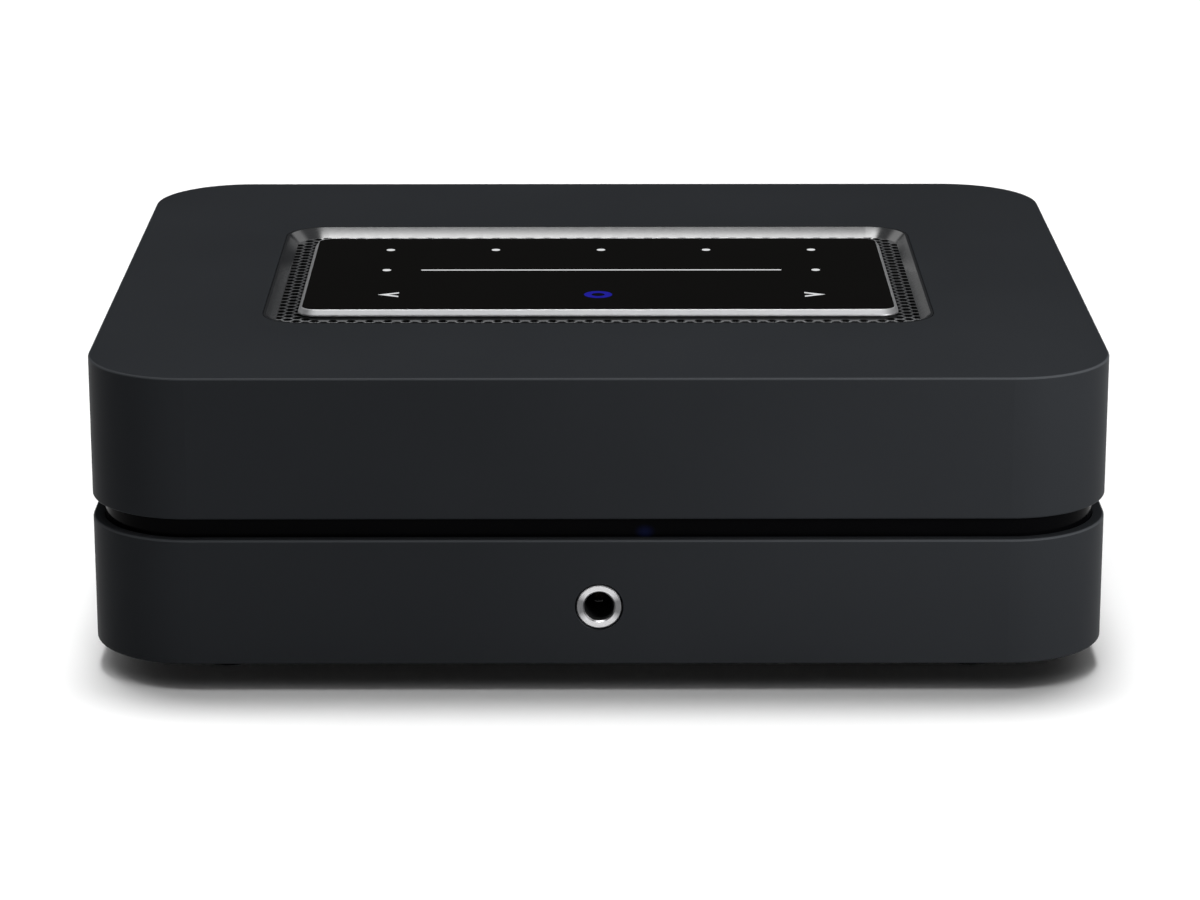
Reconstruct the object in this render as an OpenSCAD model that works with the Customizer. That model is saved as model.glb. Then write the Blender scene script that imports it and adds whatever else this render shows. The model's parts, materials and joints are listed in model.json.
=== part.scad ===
// Compact network music streamer with a built-in stereo amplifier.
// Two moulded halves stand apart on a black groove; a vent well in the top holds a flush touch panel.
// Millimetres. +X is right, the front faces -Y, +Z is up, and the feet stand on z = 0.

/* [Case] */
// Width of the body
body_w = 220; // [216:1:240]
// Depth of the body without the speaker posts
body_d = 190; // [184:1:210]
// Radius of the four upright corners
corner_r = 22.5; // [20:0.5:26]
// Thickness of the moulded walls
wall = 2.4; // [2.2:0.1:3]
// Thickness of the top face
top_t = 3; // [2.6:0.1:3.6]
// Height of the upper half
upper_h = 31.1; // [29:0.1:36]
// Height of the lower half
lower_h = 27.9; // [27:0.1:33]
// Height of the groove between the halves
groove_h = 4.6; // [3.5:0.1:6]
// Rounding of the outer edges
edge_r = 0.5; // [0.3:0.1:0.9]

/* [Case fittings] */
// Gap between parts that slip into each other
slip = 0.15; // [0.1:0.05:0.3]
// Radius of the screw bosses in the corners
boss_r = 4.5; // [4:0.1:5]
// Thickness of the ribs that brace the bosses
rib_t = 2; // [1.5:0.1:2.5]
// Width of the inner flange that the base plate closes against
flange_w = 7; // [5:0.5:9]
// Thickness of the inner flange
flange_t = 2; // [1.5:0.1:3]
// Thickness of the ledge that carries the groove band
ledge_t = 2; // [1.5:0.1:2.5]
// Thickness of the groove band
band_t = 2; // [1.5:0.1:2.5]
// How far the groove band reaches up and down behind the halves
band_lap = 2; // [1.5:0.1:3]

/* [Base] */
// Height of the rubber feet
foot_h = 7.2; // [6:0.1:9]
// Radius of the rubber feet
foot_r = 11; // [9:0.5:13]
// Depth of the screw recess in a foot
foot_sink = 3.6; // [3:0.1:4.5]
// Distance of the feet inside the corner centres
foot_inset = 6; // [4:0.5:10]
// Thickness of the base plate
base_t = 1.5; // [1.2:0.1:2]
// Depth of the base plate inside the lower edge of the case
base_recess = 0.8; // [0.5:0.1:1.2]
// Width of the air slots in the base plate
slot_w = 3; // [2:0.5:4]
// Spacing of the air slots
slot_pitch = 7; // [6:0.5:9]
// Length of the air slots
slot_l = 46; // [30:1:56]

/* [Vent well] */
// Width of the well at the top face
well_w = 148.6; // [145:0.2:152]
// Depth of the well at the top face
well_d = 93.6; // [91:0.2:98]
// Corner radius of the well at the top face
well_r = 9; // [6:0.5:10]
// Distance of the well's middle from the body's middle, towards the rear
well_y = -1; // [-4:0.5:4]
// Depth of the well down to the grille
well_drop = 2.2; // [1.8:0.1:2.6]
// Run of the sloping well wall
well_run = 2; // [1.5:0.1:2.5]
// Width of the flat rim of the well trim
trim_rim = 0.6; // [0.4:0.1:1]
// Width of the trim's flange under the top face
trim_flange_w = 5; // [3:0.5:7]
// Thickness of the trim's flange
trim_flange_t = 1.5; // [1.2:0.1:2]
// Width of the ledge that the grille presses against
trim_ledge = 1.2; // [0.8:0.1:1.4]

/* [Grille] */
// Thickness of the grille sheet
grille_t = 1; // [0.8:0.1:1.2]
// Spacing of the columns of holes
column_pitch = 2.05; // [2:0.05:2.4]
// Spacing of the holes in a column
row_pitch = 2.95; // [2.8:0.05:3.4]
// Half the width of a hole, point to point
hole_half_w = 1.15; // [0.9:0.05:1.25]
// Half the height of a hole
hole_half_h = 1.1; // [0.8:0.05:1.2]
// Half the width of a hole's flat side
hole_flat = 0.5; // [0.3:0.05:0.6]
// Least strip of sheet between a hole and the sheet's edges
grille_margin = 0.4; // [0.3:0.05:0.8]

/* [Touch panel] */
// Width of the touch panel
panel_w = 135.2; // [132:0.2:138]
// Depth of the touch panel
panel_d = 71.6; // [69:0.2:75]
// Corner radius of the touch panel
panel_r = 4.2; // [3.4:0.1:6]
// Width of the bright rim round the glass
rim_w = 0.9; // [0.6:0.1:1.2]
// Width of the flat land on top of the rim
rim_land = 0.1; // [0.05:0.05:0.3]
// Height of the frame's upright side below its bevel
frame_side = 0.3; // [0.2:0.05:0.6]
// Height of the bright frame
frame_h = 1.4; // [1.3:0.05:1.8]
// Depth of the frame, from its outer face to its inner edge
frame_in = 3.2; // [3:0.1:3.3]
// Thickness of the cover glass
glass_t = 0.9; // [0.7:0.05:1]
// Depth of the glass below the rim
glass_drop = 0.05; // [0.02:0.01:0.1]
// How far the carrier's neck stands inside the frame
neck_inset = 2; // [1.8:0.1:2.2]
// Width of the carrier's shoulder under the grille
shoulder = 1.2; // [1:0.1:1.4]
// Thickness of the carrier's walls
carrier_wall = 1.6; // [1.5:0.1:2]
// Depth of the carrier below the top face
carrier_h = 8.5; // [8:0.1:10]
// Thickness of the carrier's floor and arms
arm_t = 2.4; // [2:0.1:3]
// Width of the carrier's arms
arm_w = 9; // [8.5:0.5:11]
// Distance of the arms from the panel's middle
arm_y = 20; // [15:1:24]
// Thickness of the touch circuit board
touch_t = 1.2; // [1:0.1:1.4]
// Width of the touch ribbon
ribbon_w = 16; // [10:1:20]
// Thickness of the touch ribbon
ribbon_t = 0.3; // [0.2:0.05:0.5]

/* [Headphone jack] */
// Height of the jack's axis above the table
jack_z = 19.35; // [18.6:0.05:20.4]
// Radius of the hole in the front wall
jack_hole_r = 5.2; // [5:0.1:5.6]
// Outer radius of the metal ring's face
jack_ring_r = 4.6; // [4.2:0.05:4.7]
// Width of the fine groove between the ring's face and its rim
jack_groove_w = 0.15; // [0.1:0.05:0.2]
// Depth of the fine groove
jack_groove_h = 0.36; // [0.3:0.02:0.6]
// Chamfer at the mouth of the plug bore
jack_chamfer = 0.3; // [0.2:0.05:0.4]
// Radius of the plug bore
jack_bore_r = 3.2; // [3.18:0.01:3.3]
// Length of the plug bore in the jack's body
jack_bore_l = 24; // [20:0.5:26]
// Depth of the ring's face inside the front wall
jack_sink = 0.15; // [0.1:0.05:0.5]
// Width of the jack's body
jack_w = 15; // [13:0.5:17]
// Thickness of the jack's back wall
jack_back = 2.5; // [2:0.1:4]
// Size of a contact leaf: width, length, thickness
leaf = [2, 10, 0.5];
// Depth of the slots that hold the contact leaves
leaf_slot = 1.4; // [1:0.1:1.6]

/* [Front board] */
// Size of the small board behind the groove: width, depth, thickness
front_board_size = [36, 9, 1.2];
// Distance of the status light from the middle
status_x = 9.8; // [6:0.1:13]
// Size of the status light's body: width, depth, height
status_size = [3.4, 3, 3.2];
// Size of the remote-control receiver: width, depth, height
receiver_size = [5.4, 4.6, 3.8];

/* [Rear panel] */
// Thickness of the rear panel
rear_t = 1.2; // [1:0.1:1.4]
// Depth of the rear panel's face inside the rear wall
rear_recess = 0.2; // [0.1:0.05:0.4]
// Overlap of the rear panel on the wall, above and below its window
rear_lap = 2; // [1.5:0.1:2.3]
// Overlap of the rear panel on the wall at its ends
rear_end = 6.2; // [6:0.1:8]
// Distance from the rear panel's ends to the corner rounding
rear_margin = 1; // [0.5:0.1:3]
// Depth of the bosses behind the rear panel
rear_boss_d = 6; // [5:0.5:8]
// Height of the rear screws from the window's edges
rear_screw_in = 3.4; // [3:0.1:5]

/* [Speaker posts] */
// Radius of a post's flange
post_r = 5.9; // [5.7:0.1:6.4]
// Thickness of a post's flange
post_flange_t = 3; // [2:0.1:4]
// Radius of a threaded stud
stud_r = 3; // [2.8:0.05:3.1]
// Radius of the plug bore in a stud
plug_bore_r = 2.03; // [2.01:0.01:2.1]
// Depth of the plug bore
plug_bore_l = 11; // [8:0.5:11.5]
// Radius of the wire hole across a stud
wire_hole_r = 1.2; // [1:0.05:1.3]
// Length of a stud inside the case
stud_tail = 9; // [7:0.5:14]
// Radius of the clamp washers
washer_r = 5.2; // [4.8:0.1:5.6]
// Thickness of the clamp washers
washer_t = 1.2; // [1:0.1:1.5]
// Radius of the knobs
knob_r = 5.6; // [5.4:0.1:6]
// Length of the knobs
knob_l = 14; // [12:0.5:16]
// Chamfer on the knobs' edges
knob_edge = 0.6; // [0.4:0.1:0.8]
// Number of grip flutes on a knob
knob_flutes = 16; // [10:1:20]
// Radius of a grip flute
flute_r = 0.7; // [0.4:0.05:0.8]
// Running gap between a knob and its stud
thread_gap = 0.06; // [0.03:0.01:0.09]

/* [Sockets] */
// Size of the network socket: width, depth, height
lan_size = [15.9, 21, 13.4];
// Opening of the network socket: width, depth, height
lan_mouth = [11.8, 14, 6.8];
// Size of the latch notch under the network opening: width, height
lan_notch = [5, 1.6];
// Size of the video socket: width, depth, height
hdmi_size = [15, 12, 6.2];
// Size of the data socket: width, depth, height
usb_size = [13.2, 17, 7];
// Sheet thickness of the metal socket shells
shell_t = 0.6; // [0.4:0.05:0.8]
// Thickness of the tongue in a metal socket
tongue_t = 1.6; // [1.2:0.1:1.9]
// Width of the phono socket
phono_w = 10; // [9.8:0.1:11]
// Depth of the phono socket's body behind the panel
phono_d = 11; // [9:0.5:14]
// Radius of the phono barrel
phono_r = 4.15; // [4.1:0.01:4.2]
// Length of the phono barrel outside the panel
phono_l = 8.5; // [7.5:0.1:9.5]
// Thickness of the phono barrel
phono_wall = 0.7; // [0.5:0.05:0.9]
// Height of the collar at the foot of the phono barrel
phono_collar = 1; // [0.5:0.1:1.5]
// Radius of the phono contact's bore
phono_bore_r = 1.62; // [1.6:0.01:1.7]
// Width of the line socket
line_w = 8; // [7.5:0.1:9]
// Depth of the line socket
line_d = 13; // [12:0.5:15]
// Radius of the line socket's nose
line_nose_r = 3; // [2.8:0.1:3.4]
// Radius of the line socket's plug bore
line_bore_r = 1.78; // [1.76:0.01:1.85]
// Height of the line socket's axis above the board
line_z = 4; // [3.6:0.1:5]
// Size of the mains inlet's flange: width, thickness, height
inlet_flange = [23, 1.5, 13];
// Size of the mains inlet's body: width, depth, height
inlet_body = [20.5, 17, 10.5];
// Radius of the round ends of the mains recess
inlet_end_r = 4.15; // [4:0.05:4.3]
// Spacing of the mains pins
pin_pitch = 8.6; // [8.4:0.1:8.8]
// Radius of the mains pins
pin_r = 1.2; // [1.1:0.05:1.3]
// Depth of the mains recess
inlet_depth = 13; // [11:0.5:14]
// Distance of the pin tips inside the recess mouth
pin_sink = 3; // [2:0.1:4]
// Length of the pin tails inside the case
pin_tail = 4; // [3:0.5:6]

/* [Boards] */
// Height of the standoffs under the boards
standoff_h = 4; // [3.6:0.1:5]
// Radius of the standoffs
standoff_r = 2.8; // [2.5:0.1:3]
// Thickness of the circuit boards
board_t = 1.6; // [1.2:0.1:1.6]
// Depth of the main board
main_d = 80; // [70:1:90]
// Depth of the power and amplifier boards
side_d = 116; // [100:1:120]
// Gap between neighbouring boards, and from the boards to the walls and bosses
board_gap = 3; // [2:0.5:4]
// Distance of the fixing holes from the boards' edges
hole_inset = 5; // [4:0.5:6]
// Size of the processor's shield can: width, depth, height
shield = [28, 28, 4];
// Sheet thickness of the shield can
shield_t = 0.5; // [0.4:0.1:0.8]
// Size of the radio module: width, depth, height
radio = [18, 16, 2.6];
// Size of an antenna strip: thickness, length, height
antenna = [0.4, 42, 8];
// Height of the header that takes the touch ribbon
header_h = 5; // [4:0.5:8]
// Size of the transformer: width, depth, height
transformer = [34, 30, 26];
// Radius of the smoothing capacitors
capacitor_r = 9; // [7:0.5:10]
// Height of the smoothing capacitors
capacitor_h = 30; // [20:1:36]
// Size of the mains choke: width, depth, height
choke = [18, 20, 18];
// Size of an amplifier chip: width, depth, height
chip = [14, 14, 3];
// Size of the heat sink: width, depth, height
sink = [58, 66, 34];
// Thickness of the heat sink's base
sink_base = 4; // [3:0.5:6]
// Thickness of a heat-sink fin
fin_t = 1.6; // [1.2:0.1:2]
// Number of heat-sink fins
fins = 11; // [7:1:13]
// Size of an output choke: width, depth, height
output_choke = [13, 13, 11];

/* [Fasteners] */
// Radius of the screws
screw_r = 1.5; // [1.4:0.05:1.6]
// Gap round a screw in its hole
screw_slip = 0.15; // [0.1:0.05:0.25]
// Radius of the screw heads
head_r = 2.7; // [2.4:0.1:2.8]
// Height of the screw heads
head_h = 1.9; // [1.5:0.1:2.2]
// Depth of thread that a screw takes in a boss
grip_l = 14; // [10:0.5:18]
// Size of the cross slot in a screw head: length, width, depth
cross = [3, 0.7, 0.9];

/* [Hidden] */
$fn = 64;
eps = 1;

// Heights of the case
z_low0 = foot_h - base_recess;
z_low1 = z_low0 + lower_h;
z_up0 = z_low1 + groove_h;
z_top = z_up0 + upper_h;
z_base1 = foot_h + base_t;
z_flange1 = z_base1 + flange_t;
z_shelf = z_low1 - band_lap;
z_join = z_low1 + groove_h / 2;
z_ceiling = z_top - top_t;

// Insets of what nests inside the walls
band_in = wall + slip;
ledge_w = band_t + slip;

// Corner bosses and feet
corner_x = body_w / 2 - corner_r;
corner_y = body_d / 2 - corner_r;
boss_gap = 1;
boss_reach = corner_r - band_in - band_t - boss_gap - boss_r;
boss_off = boss_reach / sqrt(2);
hole_r = screw_r + screw_slip;
foot_x = corner_x - foot_inset;
foot_y = corner_y - foot_inset;

// Vent well and touch panel
z_grille1 = z_top - well_drop;
z_grille0 = z_grille1 - grille_t;
z_frame0 = z_top - frame_h;
z_glass1 = z_top - glass_drop;
z_glass0 = z_glass1 - glass_t;
z_carrier0 = z_top - carrier_h;
neck_w = panel_w - 2 * neck_inset;
neck_d = panel_d - 2 * neck_inset;
neck_r = panel_r - neck_inset;
cavity_w = neck_w - 2 * carrier_wall;
cavity_d = neck_d - 2 * carrier_wall;
trim_in = well_run - trim_ledge;
grille_w = well_w - 2 * (trim_in + slip);
grille_d = well_d - 2 * (trim_in + slip);
grille_r = well_r - trim_in - slip;
arm_x = well_w / 2 + trim_rim + trim_flange_w + slip + boss_r;
touch_gap = 0.1;
z_touch1 = z_glass0 - touch_gap;
z_touch0 = z_touch1 - touch_t;
touch_post_r = 2.5;
cavity_slip = 0.3;

// Rear panel and its row of sockets
y_rear = body_d / 2 - rear_recess;
y_rear_in = y_rear - rear_t;
rear_w = 2 * (corner_x - rear_margin);
window_w = rear_w - 2 * rear_end;
window_z0 = z_flange1;
window_z1 = z_shelf - ledge_t;
row_z = (window_z0 + window_z1) / 2;
rear_screw_x = window_w / 2 + rear_end / 2;
row_w = [
    for (post = [0 : 3]) 2 * post_r,
    lan_size[0], hdmi_size[0], usb_size[0], phono_w, line_w, inlet_flange[0]
];
function total(list, count) = count == 0 ? 0 : list[count - 1] + total(list, count - 1);
row_gap = (window_w - total(row_w, len(row_w))) / (len(row_w) + 1);
function row_x(i) = window_w / 2 - row_gap * (i + 1) - total(row_w, i) - row_w[i] / 2;
lan_x = row_x(4);
hdmi_x = row_x(5);
usb_x = row_x(6);
phono_x = row_x(7);
line_x = row_x(8);
inlet_x = row_x(9);
socket_proud = 0.3;
cut_slip = 0.2;

// Speaker posts
y_post = y_rear + post_flange_t;
y_washer = y_post + washer_t;
y_knob = y_washer + knob_l;
spigot_r = stud_r + 1.4;
stud_slip = 0.05;
nut_r = 5;
nut_t = 3;
rear_reach = y_knob - body_d / 2;

// Circuit boards, each as [left, front, right, rear]
z_board0 = z_base1 + standoff_h;
z_board1 = z_board0 + board_t;
side_x = body_w / 2 - wall - flange_w - standoff_r - slip + hole_inset;
main_rear = body_d / 2 - wall - board_gap / 2;
side_rear = corner_y + boss_off - boss_r - board_gap;
main_rect = [line_x - line_w / 2, main_rear - main_d, lan_x + lan_size[0] / 2, main_rear];
power_rect = [-side_x, side_rear - side_d, main_rect[0] - board_gap, side_rear];
amp_rect = [main_rect[2] + board_gap, side_rear - side_d, side_x, side_rear];
function rect_mid(r) = [(r[0] + r[2]) / 2, (r[1] + r[3]) / 2];
function rect_holes(r, rear) = [
    for (x = [r[0] + hole_inset, r[2] - hole_inset], y = [r[1] + hole_inset, rear - hole_inset]) [x, y]
];
main_holes = rect_holes(main_rect, y_rear + socket_proud - lan_size[1]);
power_holes = rect_holes(power_rect, side_rear);
amp_holes = rect_holes(amp_rect, side_rear);
amp_mid = rect_mid(amp_rect);
power_mid = rect_mid(power_rect);
main_mid = rect_mid(main_rect);
ribbon_y = main_rect[1] + 8;

// Headphone jack and its board, which rests on the front flange
y_front = -body_d / 2;
y_front_in = y_front + wall;
z_jack_board1 = z_flange1 + board_t;
jack_body_h = 2 * (jack_z - z_jack_board1);
jack_l = jack_bore_l + jack_back;
jack_rim_r = jack_hole_r - slip;
jack_rim_in = jack_ring_r + jack_groove_w;
jack_rim_drop = jack_groove_h / 3;
leaf_start = 11;
jack_board_l = jack_l + 4;
jack_hole_x = jack_w / 2 + standoff_r + 2 * slip;
jack_board_w = 2 * (jack_hole_x + standoff_r);
jack_board_holes = [
    for (side = [-1, 1]) [side * jack_hole_x, y_front_in + jack_board_l - hole_inset]
];

// Shared shapes

// Outline of a rectangle with round corners
module rounded(w, d, r) {
    square([w - 2 * r, d], center = true);
    square([w, d - 2 * r], center = true);
    for (x = [-1, 1], y = [-1, 1])
        translate([x * (w / 2 - r), y * (d / 2 - r)])
            circle(r);
}

// Carries a profile round a rectangle with round corners; x = r in the profile is the outer face
module around(w, d, r) {
    for (side = [0 : 3]) {
        across = side % 2 == 0 ? w : d;
        along = side % 2 == 0 ? d : w;
        rotate(90 * side) translate([across / 2 - r, 0, 0]) {
            rotate([90, 0, 0])
                linear_extrude(along - 2 * r, center = true)
                    children();
            translate([0, along / 2 - r, 0])
                rotate_extrude(angle = 90)
                    children();
        }
    }
}

// Profile of a block with rounded outer edges above and below
module edged(r, h, round_r) {
    difference() {
        square([r, h]);
        translate([r - round_r, h - round_r]) difference() {
            square(2 * round_r);
            circle(round_r);
        }
        translate([r - round_r, round_r]) mirror([0, 1]) difference() {
            square(2 * round_r);
            circle(round_r);
        }
    }
}

// A child at each corner boss, turned so that its +X points into the corner
module at_bosses() {
    for (x = [-1, 1], y = [-1, 1])
        translate([x * (corner_x + boss_off), y * (corner_y + boss_off), 0])
            rotate(atan2(y, x))
                children();
}

// A child at each foot
module at_feet() {
    for (x = [-1, 1], y = [-1, 1])
        translate([x * foot_x, y * foot_y, 0])
            children();
}

// A child at each point of a list
module at_points(points) {
    for (point = points)
        translate(point)
            children();
}

// A child at each arm of the touch panel's carrier
module at_arms() {
    for (x = [-1, 1], y = [-1, 1])
        translate([x * arm_x, well_y + y * arm_y, 0])
            children();
}

// A child at each rear screw, with +Z pointing out of the rear
module at_rear_screws() {
    for (x = [-1, 1], z = [window_z0 + rear_screw_in, window_z1 - rear_screw_in])
        translate([x * rear_screw_x, y_rear, z])
            rotate([-90, 0, 0])
                children();
}

// A child on the rear panel's face at a place in the row, with +Z pointing out of the rear
module on_rear(x, z) {
    translate([x, y_rear, z])
        rotate([-90, 0, 0])
            children();
}

// A pan-head screw with its head on z = 0 and its shank below
module screw(length) {
    difference() {
        union() {
            cylinder(h = head_h, r = head_r);
            translate([0, 0, -length])
                cylinder(h = length + head_h / 2, r = screw_r);
        }
        for (turn = [0, 90])
            rotate(turn)
                translate([0, 0, head_h])
                    cube([cross[0], cross[1], 2 * cross[2]], center = true);
    }
}

// A flat circuit board over a rectangle, with holes for its fixing screws
module board(rect, z, holes) {
    translate([0, 0, z])
        linear_extrude(board_t)
            difference() {
                translate([rect[0], rect[1]])
                    square([rect[2] - rect[0], rect[3] - rect[1]]);
                at_points(holes)
                    circle(hole_r);
            }
}

// A block that stands on the boards' upper face
module on_board(x, y, size) {
    translate([x - size[0] / 2, y - size[1] / 2, z_board1])
        cube(size);
}

// Case

module upper_shell() {
    color("#2b2c2f") difference() {
        union() {
            translate([0, 0, z_up0])
                around(body_w, body_d, corner_r)
                    difference() {
                        edged(corner_r, upper_h, edge_r);
                        translate([-eps, -eps])
                            square([corner_r - wall + eps, upper_h - top_t + eps]);
                    }
            translate([-corner_x, -corner_y, z_ceiling])
                cube([2 * corner_x, 2 * corner_y, top_t]);
            at_bosses() {
                translate([0, 0, z_join])
                    cylinder(h = z_ceiling - z_join + top_t / 2, r = boss_r);
                translate([0, -rib_t / 2, z_up0 + band_lap + boss_gap])
                    cube([corner_r - boss_reach - wall / 2, rib_t, z_ceiling - z_up0 - band_lap]);
            }
            at_arms()
                translate([0, 0, z_carrier0 + arm_t])
                    cylinder(h = z_ceiling - z_carrier0 - arm_t + top_t / 2, r = boss_r);
        }
        translate([0, well_y, z_ceiling - eps])
            linear_extrude(top_t + 2 * eps)
                rounded(
                    well_w + 2 * (trim_rim + slip),
                    well_d + 2 * (trim_rim + slip),
                    well_r + trim_rim + slip
                );
        at_bosses()
            translate([0, 0, z_join - eps])
                cylinder(h = grip_l + 2 * eps, r = hole_r);
        at_arms()
            translate([0, 0, z_carrier0])
                cylinder(h = z_ceiling - z_carrier0, r = hole_r);
    }
}

module lower_shell() {
    color("#2b2c2f") difference() {
        union() {
            translate([0, 0, z_low0])
                around(body_w, body_d, corner_r) {
                    difference() {
                        edged(corner_r, lower_h, edge_r);
                        translate([-eps, -eps])
                            square([corner_r - wall + eps, lower_h + 2 * eps]);
                    }
                    translate([corner_r - wall - flange_w, z_base1 - z_low0])
                        square([flange_w + wall / 2, flange_t]);
                    translate([corner_r - wall - ledge_w, window_z1 - z_low0])
                        square([ledge_w + wall / 2, ledge_t]);
                }
            at_bosses() {
                translate([0, 0, z_base1 + slip])
                    cylinder(h = z_join - z_base1 - slip, r = boss_r);
                translate([0, -rib_t / 2, z_base1 + slip])
                    cube([corner_r - boss_reach - wall / 2, rib_t, window_z1 - z_base1 - slip]);
            }
            translate([-front_board_size[0] / 2, y_front + wall / 2, window_z1])
                cube([front_board_size[0], wall / 2 + ledge_w + front_board_size[1], ledge_t]);
            at_rear_screws()
                translate([0, 0, -rear_t - rear_boss_d])
                    cylinder(h = rear_boss_d, r = rear_end / 2);
        }
        at_bosses()
            translate([0, 0, z_base1 - eps])
                cylinder(h = z_join - z_base1 + 2 * eps, r = hole_r);
        translate([0, y_front - eps, jack_z])
            rotate([-90, 0, 0])
                cylinder(h = wall + 2 * eps, r = jack_hole_r);
        translate([-window_w / 2, y_rear_in - wall, window_z0])
            cube([window_w, 2 * wall, window_z1 - window_z0]);
        translate([-rear_w / 2 - slip, y_rear_in, window_z0 - rear_lap - slip])
            cube([rear_w + 2 * slip, wall, window_z1 - window_z0 + 2 * (rear_lap + slip)]);
        at_rear_screws()
            translate([0, 0, -rear_t - rear_boss_d - eps])
                cylinder(h = rear_boss_d + 2 * eps, r = hole_r);
    }
}

module groove_band() {
    color("#08080a")
        translate([0, 0, z_shelf])
            linear_extrude(groove_h + 2 * band_lap)
                difference() {
                    rounded(body_w - 2 * band_in, body_d - 2 * band_in, corner_r - band_in);
                    rounded(
                        body_w - 2 * (band_in + band_t),
                        body_d - 2 * (band_in + band_t),
                        corner_r - band_in - band_t
                    );
                }
}

// A bank of air slots
module slots(count) {
    for (i = [0 : count - 1])
        translate([(i - (count - 1) / 2) * slot_pitch, 0]) {
            square([slot_w, slot_l - slot_w], center = true);
            for (side = [-1, 1])
                translate([0, side * (slot_l - slot_w) / 2])
                    circle(slot_w / 2);
        }
}

module base_plate() {
    color("#1f2022")
        translate([0, 0, foot_h])
            linear_extrude(base_t)
                difference() {
                    rounded(body_w - 2 * band_in, body_d - 2 * band_in, corner_r - band_in);
                    at_bosses()
                        circle(hole_r);
                    at_feet()
                        circle(hole_r);
                    translate([main_mid[0], main_rect[1] - slot_l / 2 - hole_inset])
                        slots(7);
                    translate(amp_mid)
                        slots(7);
                }
}

module case_screws() {
    color("#3a3b3d")
        at_bosses()
            translate([0, 0, foot_h])
                mirror([0, 0, 1])
                    screw(z_join - foot_h + grip_l);
}

module feet() {
    color("#161617")
        at_feet()
            rotate_extrude()
                difference() {
                    polygon([[0, 0], [foot_r - edge_r, 0], [foot_r, edge_r], [foot_r, foot_h], [0, foot_h]]);
                    translate([-eps, -eps])
                        square([head_r + screw_r / 2 + eps, foot_sink + eps]);
                    translate([-eps, -eps])
                        square([hole_r + eps, foot_h + 2 * eps]);
                }
}

module foot_screws() {
    color("#3a3b3d")
        at_feet()
            translate([0, 0, foot_sink])
                mirror([0, 0, 1])
                    screw(z_base1 - foot_sink + 2);
}

// Vent well and touch panel

module vent_surround() {
    color("#2b2c2f")
        translate([0, well_y, 0])
            around(well_w, well_d, well_r)
                polygon([
                    [well_r + trim_rim, z_top],
                    [well_r, z_top],
                    [well_r - well_run, z_grille1],
                    [well_r - trim_in, z_grille1],
                    [well_r - trim_in, z_ceiling - trim_flange_t],
                    [well_r + trim_rim + trim_flange_w, z_ceiling - trim_flange_t],
                    [well_r + trim_rim + trim_flange_w, z_ceiling],
                    [well_r + trim_rim, z_ceiling]
                ]);
}

// True where a point lies inside a rectangle with round corners
function inside(x, y, w, d, r) =
    let (dx = max(abs(x) - w / 2 + r, 0), dy = max(abs(y) - d / 2 + r, 0))
    abs(x) < w / 2 && abs(y) < d / 2 && norm([dx, dy]) <= r;

// Corners of one six-sided hole
function hole(x, y) = [
    for (side = [1, -1], corner = [[hole_half_w, 0], [hole_flat, hole_half_h], [-hole_flat, hole_half_h]])
        [x + side * corner[0], y + side * corner[1]]
];

// Middles of the holes: staggered columns from the carrier's neck out to the sheet's border under the ledge
hole_reach = 2 * (max(hole_half_w, hole_half_h) + grille_margin);
field_w = grille_w - hole_reach;
field_d = grille_d - hole_reach;
field_r = max(grille_r - hole_reach / 2, 0.5);
block_w = neck_w + 2 * cavity_slip + hole_reach;
block_d = neck_d + 2 * cavity_slip + hole_reach;
columns = floor(field_w / 2 / column_pitch);
rows = ceil(field_d / 2 / row_pitch);
hole_places = [
    for (column = [-columns : columns], row = [-rows : rows])
        let (x = column * column_pitch, y = (row + (abs(column) % 2) / 2) * row_pitch)
        if (inside(x, y, field_w, field_d, field_r) && !inside(x, y, block_w, block_d, field_r)) [x, y]
];

module vent_grille() {
    color("#1c1d1f")
        translate([0, well_y, z_grille0])
            linear_extrude(grille_t)
                difference() {
                    rounded(grille_w, grille_d, grille_r);
                    rounded(neck_w + 2 * cavity_slip, neck_d + 2 * cavity_slip, neck_r + cavity_slip);
                    for (place = hole_places)
                        polygon(hole(place[0], place[1]));
                }
}

module panel_frame() {
    color("#b9bcc0")
        translate([0, well_y, 0])
            around(panel_w, panel_d, panel_r)
                polygon([
                    [panel_r, z_frame0],
                    [panel_r, z_frame0 + frame_side],
                    [panel_r - rim_w + rim_land, z_top],
                    [panel_r - rim_w, z_top],
                    [panel_r - rim_w, z_glass0],
                    [panel_r - frame_in, z_glass0],
                    [panel_r - frame_in, z_frame0]
                ]);
}

module panel_glass() {
    color("#111112")
        translate([0, well_y, z_glass0])
            linear_extrude(glass_t)
                rounded(
                    panel_w - 2 * (rim_w + slip / 2),
                    panel_d - 2 * (rim_w + slip / 2),
                    panel_r - rim_w - slip / 2
                );
}

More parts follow.
